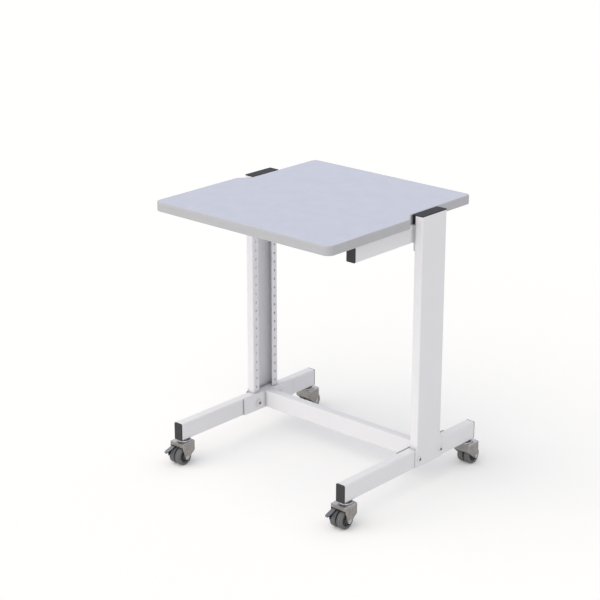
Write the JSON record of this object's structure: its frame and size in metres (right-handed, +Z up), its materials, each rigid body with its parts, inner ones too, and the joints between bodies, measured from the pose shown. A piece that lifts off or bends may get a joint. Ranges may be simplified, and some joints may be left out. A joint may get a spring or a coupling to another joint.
{
  "type": "mobile utility table",
  "caption": "Rolling work table with a notched top on two perforated channel posts, feet joined by a crossbar, and twin-wheel swivel casters with brakes at the front.",
  "frame": {"origin": "on the floor, in the middle of the table's bounding box as seen from above", "axes": "+X to the user's right, +Y to the back, +Z up"},
  "size_m": [0.642, 0.6255, 0.76],
  "materials": {
    "laminate_board": "pale grey-blue matt laminate on a particle board core",
    "edge_band": "light grey plastic edge band",
    "white_powder_coat": "off-white powder coat on steel sheet and tube",
    "black_plastic": "moulded black plastic, fine grain",
    "zinc_fasteners": "zinc plated steel",
    "plated_forks": "pressed steel, zinc plated, satin",
    "brake_levers": "pressed steel, zinc plated",
    "grey_tyres": "grey non-marking rubber",
    "dark_hubs": "dark grey moulded plastic"
  },
  "bodies": {
    "table": {"tabletop": "laminate_board", "edge_band": "edge_band", "post_left": "white_powder_coat", "post_right": "white_powder_coat", "post_cap_left": "black_plastic", "post_cap_right": "black_plastic", "arm_left": "white_powder_coat", "arm_right": "white_powder_coat", "arm_cap_front_left": "black_plastic", "arm_cap_front_right": "black_plastic", "arm_cap_rear_left": "black_plastic", "arm_cap_rear_right": "black_plastic", "arm_plate_left": "white_powder_coat", "arm_plate_right": "white_powder_coat", "arm_long_bolts": "zinc_fasteners", "arm_short_bolts": "zinc_fasteners", "arm_nuts": "zinc_fasteners", "top_screws": "zinc_fasteners", "foot_left": "white_powder_coat", "foot_right": "white_powder_coat", "foot_cap_front_left": "black_plastic", "foot_cap_front_right": "black_plastic", "foot_cap_rear_left": "black_plastic", "foot_cap_rear_right": "black_plastic", "crossbar": "white_powder_coat", "crossbar_plate_left": "white_powder_coat", "crossbar_plate_right": "white_powder_coat", "frame_bolts": "zinc_fasteners", "frame_washers": "zinc_fasteners", "frame_nuts": "zinc_fasteners", "caster_stems": "zinc_fasteners", "caster_nuts": "zinc_fasteners"},
    "fork_front_left": {"fork_front_left": "plated_forks", "axle_front_left": "zinc_fasteners", "brake_pin_left": "zinc_fasteners"},
    "wheel_front_left_a": {"tyre_front_left_a": "grey_tyres", "hub_front_left_a": "dark_hubs"},
    "wheel_front_left_b": {"tyre_front_left_b": "grey_tyres", "hub_front_left_b": "dark_hubs"},
    "fork_front_right": {"fork_front_right": "plated_forks", "axle_front_right": "zinc_fasteners", "brake_pin_right": "zinc_fasteners"},
    "wheel_front_right_a": {"tyre_front_right_a": "grey_tyres", "hub_front_right_a": "dark_hubs"},
    "wheel_front_right_b": {"tyre_front_right_b": "grey_tyres", "hub_front_right_b": "dark_hubs"},
    "fork_rear_left": {"fork_rear_left": "plated_forks", "axle_rear_left": "zinc_fasteners"},
    "wheel_rear_left_a": {"tyre_rear_left_a": "grey_tyres", "hub_rear_left_a": "dark_hubs"},
    "wheel_rear_left_b": {"tyre_rear_left_b": "grey_tyres", "hub_rear_left_b": "dark_hubs"},
    "fork_rear_right": {"fork_rear_right": "plated_forks", "axle_rear_right": "zinc_fasteners"},
    "wheel_rear_right_a": {"tyre_rear_right_a": "grey_tyres", "hub_rear_right_a": "dark_hubs"},
    "wheel_rear_right_b": {"tyre_rear_right_b": "grey_tyres", "hub_rear_right_b": "dark_hubs"},
    "brake_left": {"brake_lever_left": "brake_levers"},
    "brake_right": {"brake_lever_right": "brake_levers"}
  },
  "joints": [
    {"name": "front_left_swivel", "type": "hinge", "parent": "table", "child": "fork_front_left", "pos_m": [-0.291, -0.23225, 0.0635], "axis": [0, 0, 1], "continuous": true},
    {"name": "front_left_wheel_a_spin", "type": "hinge", "parent": "fork_front_left", "child": "wheel_front_left_a", "pos_m": [-0.28, -0.24825, 0.025], "axis": [1, 0, 0], "continuous": true},
    {"name": "front_left_wheel_b_spin", "type": "hinge", "parent": "fork_front_left", "child": "wheel_front_left_b", "pos_m": [-0.302, -0.24825, 0.025], "axis": [1, 0, 0], "continuous": true},
    {"name": "front_right_swivel", "type": "hinge", "parent": "table", "child": "fork_front_right", "pos_m": [0.291, -0.23225, 0.0635], "axis": [0, 0, 1], "continuous": true},
    {"name": "front_right_wheel_a_spin", "type": "hinge", "parent": "fork_front_right", "child": "wheel_front_right_a", "pos_m": [0.302, -0.24825, 0.025], "axis": [1, 0, 0], "continuous": true},
    {"name": "front_right_wheel_b_spin", "type": "hinge", "parent": "fork_front_right", "child": "wheel_front_right_b", "pos_m": [0.28, -0.24825, 0.025], "axis": [1, 0, 0], "continuous": true},
    {"name": "rear_left_swivel", "type": "hinge", "parent": "table", "child": "fork_rear_left", "pos_m": [-0.291, 0.27175, 0.0635], "axis": [0, 0, 1], "continuous": true},
    {"name": "rear_left_wheel_a_spin", "type": "hinge", "parent": "fork_rear_left", "child": "wheel_rear_left_a", "pos_m": [-0.28, 0.28775, 0.025], "axis": [1, 0, 0], "continuous": true},
    {"name": "rear_left_wheel_b_spin", "type": "hinge", "parent": "fork_rear_left", "child": "wheel_rear_left_b", "pos_m": [-0.302, 0.28775, 0.025], "axis": [1, 0, 0], "continuous": true},
    {"name": "rear_right_swivel", "type": "hinge", "parent": "table", "child": "fork_rear_right", "pos_m": [0.291, 0.27175, 0.0635], "axis": [0, 0, 1], "continuous": true},
    {"name": "rear_right_wheel_a_spin", "type": "hinge", "parent": "fork_rear_right", "child": "wheel_rear_right_a", "pos_m": [0.302, 0.28775, 0.025], "axis": [1, 0, 0], "continuous": true},
    {"name": "rear_right_wheel_b_spin", "type": "hinge", "parent": "fork_rear_right", "child": "wheel_rear_right_b", "pos_m": [0.28, 0.28775, 0.025], "axis": [1, 0, 0], "continuous": true},
    {"name": "left_brake_press", "type": "hinge", "parent": "fork_front_left", "child": "brake_left", "pos_m": [-0.3125, -0.24425, 0.0565], "axis": [1, 0, 0], "range_deg": [0, 7.2]},
    {"name": "right_brake_press", "type": "hinge", "parent": "fork_front_right", "child": "brake_right", "pos_m": [0.2695, -0.24425, 0.0565], "axis": [1, 0, 0], "range_deg": [0, 7.2]}
  ]
}
